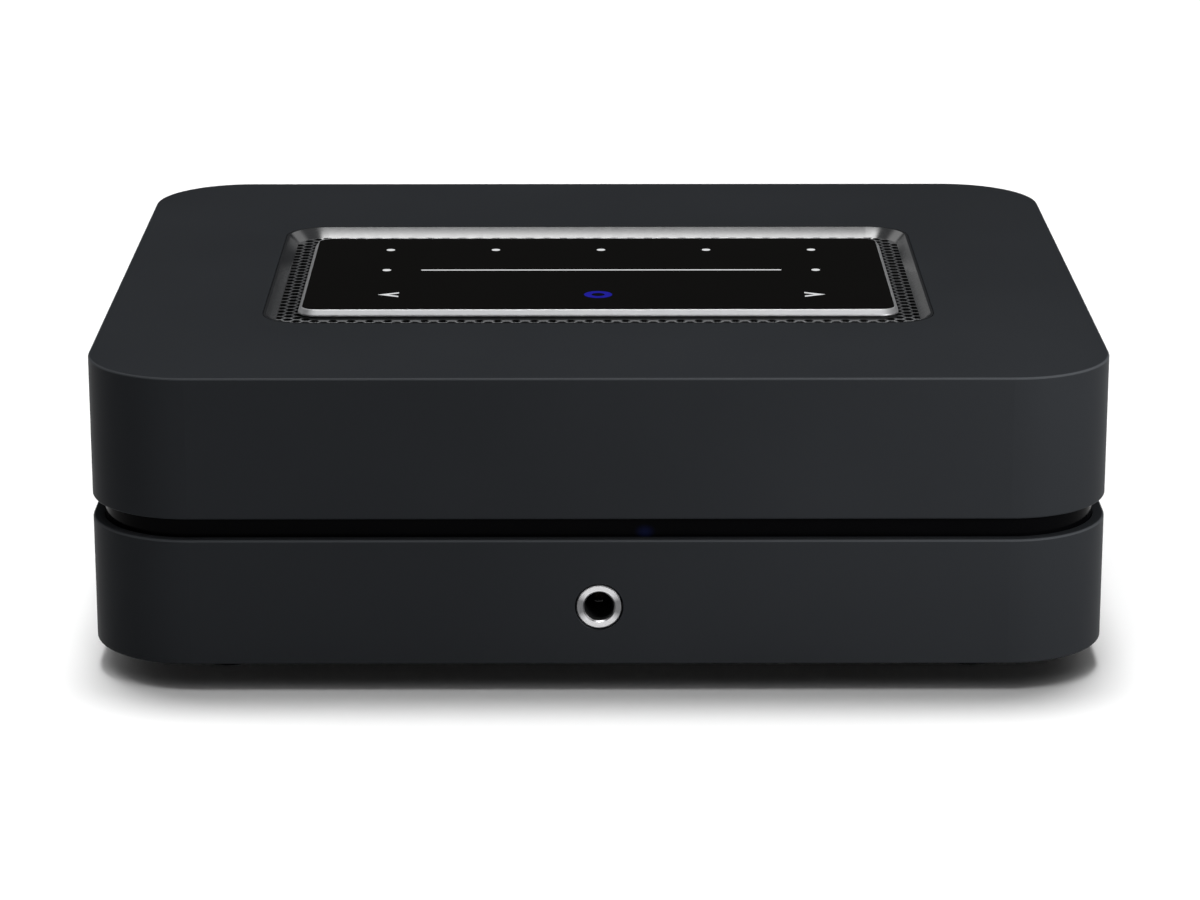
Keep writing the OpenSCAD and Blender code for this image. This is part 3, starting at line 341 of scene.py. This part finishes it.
def laminate_material(name, colour, track):
    """Circuit board with etched tracks under the solder mask."""
    cells_per_metre, depth, strength = 260.0, 0.00003, 0.2
    grain, rough = 900.0, (0.3, 0.45)
    mat, tree, shader = new_material(name)
    vector = coordinates(tree)
    cells = tree.nodes.new("ShaderNodeTexVoronoi")
    cells.distance = "MANHATTAN"
    cells.inputs["Scale"].default_value = cells_per_metre
    link(tree, vector, cells.inputs["Vector"])
    link(tree, two_colours(tree, cells.outputs["Distance"], track, colour), shader.inputs["Base Color"])
    link(tree, spread(tree, noise(tree, vector, grain), *rough), shader.inputs["Roughness"])
    relief(tree, shader, cells.outputs["Distance"], depth, strength)
    return mat


# The finish of each material slot

# Painted highlight on the case's rounded edges
EDGE_HIGHLIGHT_COLOUR = (0.044, 0.047, 0.051)
COVE_DEPTH = 0.11 * MM
# Painted highlight: the grille grows lighter from the first of these places to the second
PAINTED_HIGHLIGHT_ROWS = (PANEL_FRONT + 3.8, PANEL_FRONT - 0.2)
STATUS_RISE = 0.4
STATUS_REACH = Vector((2.6, 4.0, 1.9)) * MM
STATUS_BLUE = (0.0012, 0.0022, 0.0135)

FINISHES = {
    "case": finish_material(
        "satin_charcoal", (0.0190, 0.0206, 0.0230), vary=0.05, rough=(0.40, 0.48), grain=5200.0,
        depth=0.000012, strength=0.12, cloud=18.0, specular=0.014,
    ),
    "groove_gloss": finish_material(
        "gloss_black_band", (0.0012, 0.0012, 0.0015), vary=0.1, rough=(0.10, 0.14), grain=900.0,
        depth=0.000003, strength=0.03, specular=0.012,
    ),
    "base_steel": finish_material(
        "base_powder_coat", (0.014, 0.014, 0.015), vary=0.15, rough=(0.5, 0.62), grain=2200.0,
        depth=0.00006, strength=0.35, specular=0.4,
    ),
    "screw_steel": finish_material(
        "blackened_steel", (0.05, 0.05, 0.053), vary=0.2, rough=(0.32, 0.45), metallic=1.0, grain=1800.0,
        depth=0.00002, strength=0.15,
    ),
    "foot_rubber": finish_material(
        "foot_rubber", (0.012, 0.012, 0.012), vary=0.2, rough=(0.72, 0.85), grain=1500.0,
        depth=0.00008, strength=0.4, specular=0.3,
    ),
    "well_trim": coved_material(
        "polished_trim", (0.0140, 0.0151, 0.0168), (0.17, 0.21), GRILLE_TOP, TRIM_TOP, COVE_DEPTH,
    ),
    # Grille: painted shade in its holes and a painted highlight on its front rows
    "grille_steel": punched_material(
        "grille_black", (0.0035, 0.0035, 0.0037), (0.052, 0.053, 0.055), (0.13, 0.132, 0.136),
        PAINTED_HIGHLIGHT_ROWS, (0.3, 0.4),
    ),
    "frame_silver": finish_material(
        "silver_frame", (0.44, 0.443, 0.452), vary=0.03, rough=(0.47, 0.53), metallic=1.0, grain=600.0,
        depth=0.000003, strength=0.05, cloud=120.0, edge=0.0003,
    ),
    "panel_glass": finish_material(
        "black_glass", (0.0020, 0.0018, 0.0015), vary=0.08, rough=(0.03, 0.05), grain=300.0,
        depth=0.000002, strength=0.02, cloud=25.0, specular=0.18,
    ),
    "inner_plastic": finish_material(
        "inner_black_plastic", (0.006, 0.006, 0.0065), vary=0.15, rough=(0.42, 0.55), grain=1900.0,
        depth=0.00003, strength=0.2, specular=0.35,
    ),
    "board_green": laminate_material("board_green", (0.010, 0.062, 0.028), (0.018, 0.105, 0.048)),
    "board_brown": laminate_material("board_brown", (0.16, 0.085, 0.034), (0.22, 0.125, 0.055)),
    "ribbon_film": finish_material(
        "ribbon_film", (0.52, 0.47, 0.38), vary=0.06, rough=(0.3, 0.42), grain=1200.0, stretch=(8, 0.1, 1),
    ),
    "bright_metal": finish_material(
        "bright_plating", (0.62, 0.62, 0.63), vary=0.04, rough=(0.12, 0.2), metallic=1.0, grain=1500.0,
        depth=0.000008, strength=0.1,
    ),
    "contact_brass": finish_material(
        "gold_flash", (0.56, 0.38, 0.12), vary=0.08, rough=(0.2, 0.3), metallic=1.0, grain=1600.0,
        depth=0.00001, strength=0.12,
    ),
    "led_clear": finish_material(
        "led_lens", (0.28, 0.36, 0.7), vary=0.08, rough=(0.08, 0.14), grain=800.0,
        depth=0.000004, strength=0.05,
    ),
    "rear_steel": finish_material(
        "rear_powder_coat", (0.011, 0.011, 0.012), vary=0.15, rough=(0.48, 0.6), grain=2400.0,
        depth=0.00005, strength=0.3, specular=0.4,
    ),
    "socket_plastic": finish_material(
        "socket_black_plastic", (0.0075, 0.0075, 0.008), vary=0.15, rough=(0.34, 0.46), grain=1900.0,
        depth=0.00002, strength=0.18, specular=0.45,
    ),
    "socket_metal": finish_material(
        "nickel_plating", (0.46, 0.46, 0.455), vary=0.06, rough=(0.26, 0.36), metallic=1.0, grain=1400.0,
        depth=0.00001, strength=0.15, stretch=(0.3, 3.0, 0.3),
    ),
    "phono_insert": finish_material(
        "phono_insert", (0.062, 0.022, 0.145), vary=0.08, rough=(0.24, 0.34), grain=1500.0,
    ),
    "knob_black": finish_material(
        "knob_black", (0.008, 0.008, 0.0085), vary=0.12, rough=(0.2, 0.3), grain=1700.0,
        depth=0.00001, strength=0.1,
    ),
    "knob_red": finish_material(
        "knob_red", (0.23, 0.008, 0.008), vary=0.1, rough=(0.2, 0.3), grain=1700.0,
        depth=0.00001, strength=0.1,
    ),
    "ferrite": finish_material(
        "ferrite", (0.014, 0.014, 0.015), vary=0.25, rough=(0.55, 0.7), grain=1300.0,
        depth=0.00006, strength=0.3,
    ),
    "capacitor_sleeve": finish_material(
        "capacitor_sleeve", (0.009, 0.011, 0.02), vary=0.12, rough=(0.22, 0.32), grain=900.0,
        depth=0.00001, strength=0.1,
    ),
    "heat_sink_alloy": finish_material(
        "extruded_alloy", (0.40, 0.405, 0.42), vary=0.06, rough=(0.32, 0.42), metallic=1.0, grain=900.0,
        depth=0.00002, strength=0.2, stretch=(4, 0.1, 4),
    ),
}

# Painted highlight: a lighter colour on the case's rounded edges
painted_edge_highlight(FINISHES["case"], EDGE_HIGHLIGHT_COLOUR)
status_place = point(STATUS_LED.x, BAND_FRONT, STATUS_LED.z + STATUS_RISE)
light_behind(FINISHES["groove_gloss"], status_place, STATUS_REACH, STATUS_BLUE)

for entry in frame["record"]["subparts"]:
    piece = nodes[entry["node"]]
    piece.data.materials.clear()
    piece.data.materials.append(FINISHES[entry["material_slot"]])

# The jack's ring, with a painted highlight above and below its middle
nodes["jack_ring"].data.materials[0] = turned_metal_painted_highlight(
    "turned_ring_painted_highlight", point(0, JACK_MOUTH, JACK_Z), (0.16, 0.16, 0.165), (0.6, 0.6, 0.61), (0.22, 0.34)
)


# Steps that build the small pieces


def on_rear(x, z, height):
    return point(x, height, z)


def in_jack(depth, z, x):
    """Depth from the mouth of the jack, z from its axis."""
    return point(x, JACK_MOUTH + depth, JACK_Z + z)


def add_prisms(bm, loops, low, high, place=point):
    """Closed prisms: each loop of millimetres, laid by place, is given a thickness from low to high."""
    for loop in loops:
        lower = [bm.verts.new(place(a, b, low)) for a, b in loop]
        upper = [bm.verts.new(place(a, b, high)) for a, b in loop]
        bm.faces.new(upper)
        bm.faces.new(lower[::-1])
        count = len(loop)
        for i in range(count):
            j = (i + 1) % count
            bm.faces.new((lower[i], lower[j], upper[j], upper[i]))


def add_ring(bm, x, y, inner, outer, low, high, steps=48):
    corners = ((inner, low), (outer, low), (outer, high), (inner, high))
    rows = []
    for i in range(steps):
        a = 2 * math.pi * i / steps
        c, s = math.cos(a), math.sin(a)
        rows.append([bm.verts.new(point(x + r * c, y + r * s, z)) for r, z in corners])
    for i in range(steps):
        a, b = rows[i], rows[(i + 1) % steps]
        for k in range(4):
            m = (k + 1) % 4
            bm.faces.new((a[k], b[k], b[m], a[m]))


def mesh_from(build, name):
    bm = bmesh.new()
    build(bm)
    bmesh.ops.recalc_face_normals(bm, faces=bm.faces)
    mesh = bpy.data.meshes.new(name)
    bm.to_mesh(mesh)
    bm.free()
    return mesh


def new_piece(name, mesh, mat, body="body"):
    piece = bpy.data.objects.new(name, mesh)
    bpy.context.collection.objects.link(piece)
    piece.data.materials.append(mat)
    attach(piece, body)
    return piece


DOT_STEPS, END_STEPS, BEND_STEPS = 24, 8, 16


def arc(x, y, r, start, end, steps):
    """Points on an arc, from one angle to another in half turns."""
    angles = [math.pi * (start + (end - start) * i / steps) for i in range(steps + 1)]
    return [(x + r * math.cos(a), y + r * math.sin(a)) for a in angles]


def dot(x, y, r):
    return arc(x, y, r, 0, 2, DOT_STEPS)[:-1]


def bar(x0, x1, y, half):
    """A line with round ends."""
    return arc(x0, y, half, 0.5, 1.5, END_STEPS) + arc(x1, y, half, -0.5, 0.5, END_STEPS)


def chevron(tip_x, y, way):
    """An arrow head: way is +1 where it opens to the right."""
    deep, half, thick, notch = 4.7, 2.2, 1.0, 2.3
    return [
        (tip_x, y),
        (tip_x + way * deep, y + half),
        (tip_x + way * deep, y + half - thick),
        (tip_x + way * notch, y),
        (tip_x + way * deep, y - half + thick),
        (tip_x + way * deep, y - half),
    ][:: 1 if way > 0 else -1]


def upright_block(x, half, low, high):
    return [(x - half, low), (x + half, low), (x + half, high), (x - half, high)]


# Marks on the touch glass

PRINT_GAP, PRINT_TOP = 0.005, 0.025
INK_LOW, INK_HIGH = GLASS_TOP + PRINT_GAP, GLASS_TOP + PRINT_TOP
PRINT_SHIFT = 0.8
DOT_R = 1.0
DOT_PITCH = 25
ROW_REAR, ROW_MIDDLE, ROW_FRONT = PANEL_Y + 23.0, PANEL_Y + 2.7, PANEL_Y - 21.0
LINE_REACH, LINE_HALF = 41.6, 0.4
CHEVRON_TIP = 50.9
RING_INNER, RING_OUTER = 1.5, 3.2


def marks(bm):
    loops = [dot(DOT_PITCH * i + PRINT_SHIFT, ROW_REAR, DOT_R) for i in (-2, -1, 0, 1, 2)]
    loops += [dot(DOT_PITCH * i + PRINT_SHIFT, ROW_MIDDLE, DOT_R) for i in (-2, 2)]
    loops.append(bar(PRINT_SHIFT - LINE_REACH, PRINT_SHIFT + LINE_REACH, ROW_MIDDLE, LINE_HALF))
    loops.append(chevron(PRINT_SHIFT - CHEVRON_TIP, ROW_FRONT, 1))
    loops.append(chevron(PRINT_SHIFT + CHEVRON_TIP, ROW_FRONT, -1))
    add_prisms(bm, loops, INK_LOW, INK_HIGH)


def ring_mark(bm):
    add_ring(bm, 0, ROW_FRONT, RING_INNER, RING_OUTER, INK_LOW, INK_HIGH)


mark_white = glow_material("mark_white", (0.85, 0.86, 0.87), 0.93, 800.0)
mark_blue = glow_material("mark_blue", (0.007, 0.006, 0.3), 1.0, 800.0)
touch_marks = new_piece("touch_marks", mesh_from(marks, "touch_marks"), mark_white)
ring = new_piece("touch_ring", mesh_from(ring_mark, "touch_ring"), mark_blue)


# Polarity marks over the speaker posts: minus, plus, plus, minus

SIGN_RISE, SIGN_HALF, SIGN_LINE, SIGN_GAP = 8.9, 1.2, 0.3, 0.05


def polarity(bm):
    near, far = SIGN_LINE + SIGN_GAP, SIGN_HALF + SIGN_LINE
    signs = [post + Vector((0, 0, SIGN_RISE)) for post in POSTS]
    loops = [bar(sign.x - SIGN_HALF, sign.x + SIGN_HALF, sign.z, SIGN_LINE) for sign in signs]
    for sign in signs[1:3]:
        loops.append(upright_block(sign.x, SIGN_LINE, sign.z - far, sign.z - near))
        loops.append(upright_block(sign.x, SIGN_LINE, sign.z + near, sign.z + far))
    add_prisms(bm, loops, REAR_FACE + PRINT_GAP, REAR_FACE + PRINT_TOP, on_rear)


ink_white = finish_material("panel_ink", (0.55, 0.55, 0.56), vary=0.06, rough=(0.5, 0.6), grain=1500.0)
post_marks = new_piece("post_marks", mesh_from(polarity, "post_marks"), ink_white)


# The bent end of the lower contact spring, seen in the mouth of the jack

SPRING_DEPTH, SPRING_Z, SPRING_R = 12.4, -3.75, 1.0
SPRING_FLAT, SPRING_T, SPRING_HALF_W = 0.2, 0.33, 0.95


def spring(bm):
    bend = arc(SPRING_DEPTH, SPRING_Z, SPRING_R, 1, 0, BEND_STEPS)
    near, far = SPRING_DEPTH - SPRING_R - SPRING_FLAT, SPRING_DEPTH + SPRING_R + SPRING_FLAT
    foot = SPRING_Z - SPRING_T
    loop = [(near, foot), (near, SPRING_Z)] + bend + [(far, SPRING_Z), (far, foot)]
    add_prisms(bm, [loop], -SPRING_HALF_W, SPRING_HALF_W, in_jack)


jack_spring = new_piece("jack_spring", mesh_from(spring, "jack_spring"), FINISHES["bright_metal"])


# Studio light: dark walls under a pale ceiling, with soft lights in it

# Grey level by the sine of the height
LEVELS = ((0.0, 0.02), (0.42, 0.025), (0.62, 0.14), (1.0, 0.18))
# Degrees from the middle of a light to where it starts to fade and to where it ends
PATCHES = (
    # Overhead, a little to the rear
    dict(direction=(0.0, 0.17, 0.985), full=5, end=11, radiance=42.0),
    # High in front, broad and dim
    dict(direction=(0.0, -0.5, 0.866), full=14, end=28, radiance=0.6),
    # A strip overhead, a little to the front
    dict(direction=(-0.10, -0.27, 0.957), full=4, end=9, radiance=6.0, squash=0.35),
    # Rear left, low behind and rear right
    dict(direction=(-0.55, 0.6, 0.58), full=12, end=28, radiance=1.0),
    dict(direction=(-0.30, 0.95, 0.08), full=3, end=8, radiance=0.36),
    dict(direction=(0.55, 0.6, 0.58), full=12, end=28, radiance=0.8),
    # Low in front
    dict(direction=(0.0, -0.985, 0.17), full=4, end=9, radiance=2.1),
)

world = bpy.data.worlds.new("studio")
bpy.context.scene.world = world
world.use_nodes = True
sky = world.node_tree
sky.nodes.clear()
sky_direction = sky.nodes.new("ShaderNodeTexCoord").outputs["Generated"]


def sky_patch(direction, full, end, radiance, squash=1.0):
    """A soft light in one direction of the studio, drawn out sideways where squash is below 1."""
    shape = Vector((squash, 1, 1))
    squashed = vector_step(sky, "NORMALIZE", vector_step(sky, "MULTIPLY", sky_direction, shape))
    centre = (Vector(direction) * shape).normalized()
    nearness = vector_step(sky, "DOT_PRODUCT", squashed, centre)
    fade = (math.cos(math.radians(end)), math.cos(math.radians(full)))
    return carried(sky, nearness, fade, (0.0, radiance), smooth=True)


ceiling = sky.nodes.new("ShaderNodeRGBToBW")
link(sky, grey_ramp(sky, axis_of(sky, sky_direction, "Z"), LEVELS), ceiling.inputs["Color"])
light = ceiling.outputs["Val"]
for patch in PATCHES:
    light = number_step(sky, "ADD", light, sky_patch(**patch))
# The camera sees plain white beyond the floor
seen = sky.nodes.new("ShaderNodeMix")
link(sky, sky.nodes.new("ShaderNodeLightPath").outputs["Is Camera Ray"], seen.inputs["Factor"])
link(sky, light, seen.inputs["A"])
seen.inputs["B"].default_value = 1.0
background = sky.nodes.new("ShaderNodeBackground")
link(sky, seen.outputs["Result"], background.inputs["Strength"])
out = sky.nodes.new("ShaderNodeOutputWorld")
link(sky, background.outputs["Background"], out.inputs["Surface"])


# Floor

REACH = 30.0


def floor_material():
    """Pale paper: white where it is seen, mirrored or seen through glass, grey for the light it returns."""
    mat = finish_material(
        "pale_floor", (0.6, 0.6, 0.6), vary=0.01, rough=(0.85, 0.95), grain=40.0,
        depth=0.0001, strength=0.02, cloud=3.0, specular=0.1,
    )
    tree = mat.node_tree
    path = tree.nodes.new("ShaderNodeLightPath")
    shown = number_step(tree, "MAXIMUM", path.outputs["Is Camera Ray"], path.outputs["Is Glossy Ray"])
    shown = number_step(tree, "MAXIMUM", shown, path.outputs["Is Transmission Ray"])
    return lay_over(mat, shown, (1.0, 1.0, 1.0))


floor_mesh = bpy.data.meshes.new("floor")
floor_mesh.from_pydata(
    [(-REACH, -REACH, 0), (REACH, -REACH, 0), (REACH, REACH, 0), (-REACH, REACH, 0)], [], [(0, 1, 2, 3)]
)
floor = bpy.data.objects.new("floor", floor_mesh)
bpy.context.collection.objects.link(floor)
floor.data.materials.append(floor_material())


# A near lamp for the front, in metres of the frame: the floor is left out of its light

LAMP_PLACE, LAMP_TARGET = Vector((0.27, -0.33, 0.15)), Vector((0.09, -0.10, 0.045))
LAMP_SIZE, LAMP_POWER, LAMP_BEAM = 0.10, 0.42, 110

lamp_data = bpy.data.lights.new("side_lamp", "AREA")
lamp_data.shape = "SQUARE"
lamp_data.size = LAMP_SIZE
lamp_data.energy = LAMP_POWER
lamp_data.spread = math.radians(LAMP_BEAM)
side_lamp = bpy.data.objects.new("side_lamp", lamp_data)
bpy.context.collection.objects.link(side_lamp)
side_lamp.location = LAMP_PLACE
side_lamp.rotation_euler = (LAMP_TARGET - LAMP_PLACE).to_track_quat("-Z", "Y").to_euler()
side_lamp.visible_camera = False
left_out = bpy.data.collections.new("side_lamp_left_out")
left_out.objects.link(floor)
side_lamp.light_linking.receiver_collection = left_out
left_out.collection_objects[0].light_linking.link_state = "EXCLUDE"


# Camera at the photograph's place

PHOTO_W, FOCAL_PX, SENSOR = 1200, 4053.0, 36.0
CAMERA_PLACE = point(-2.5, -917.7, 293.0)
CAMERA_DOWN, CAMERA_TURN = 16.18, -0.187

camera_data = bpy.data.cameras.new("camera")
camera_data.sensor_fit = "HORIZONTAL"
camera_data.sensor_width = SENSOR
camera_data.lens = FOCAL_PX / PHOTO_W * SENSOR
camera = bpy.data.objects.new("camera", camera_data)
bpy.context.collection.objects.link(camera)
camera.location = CAMERA_PLACE
camera.rotation_euler = (math.radians(90 - CAMERA_DOWN), 0, math.radians(CAMERA_TURN))
bpy.context.scene.camera = camera

bpy.context.scene.view_settings.view_transform = "Standard"
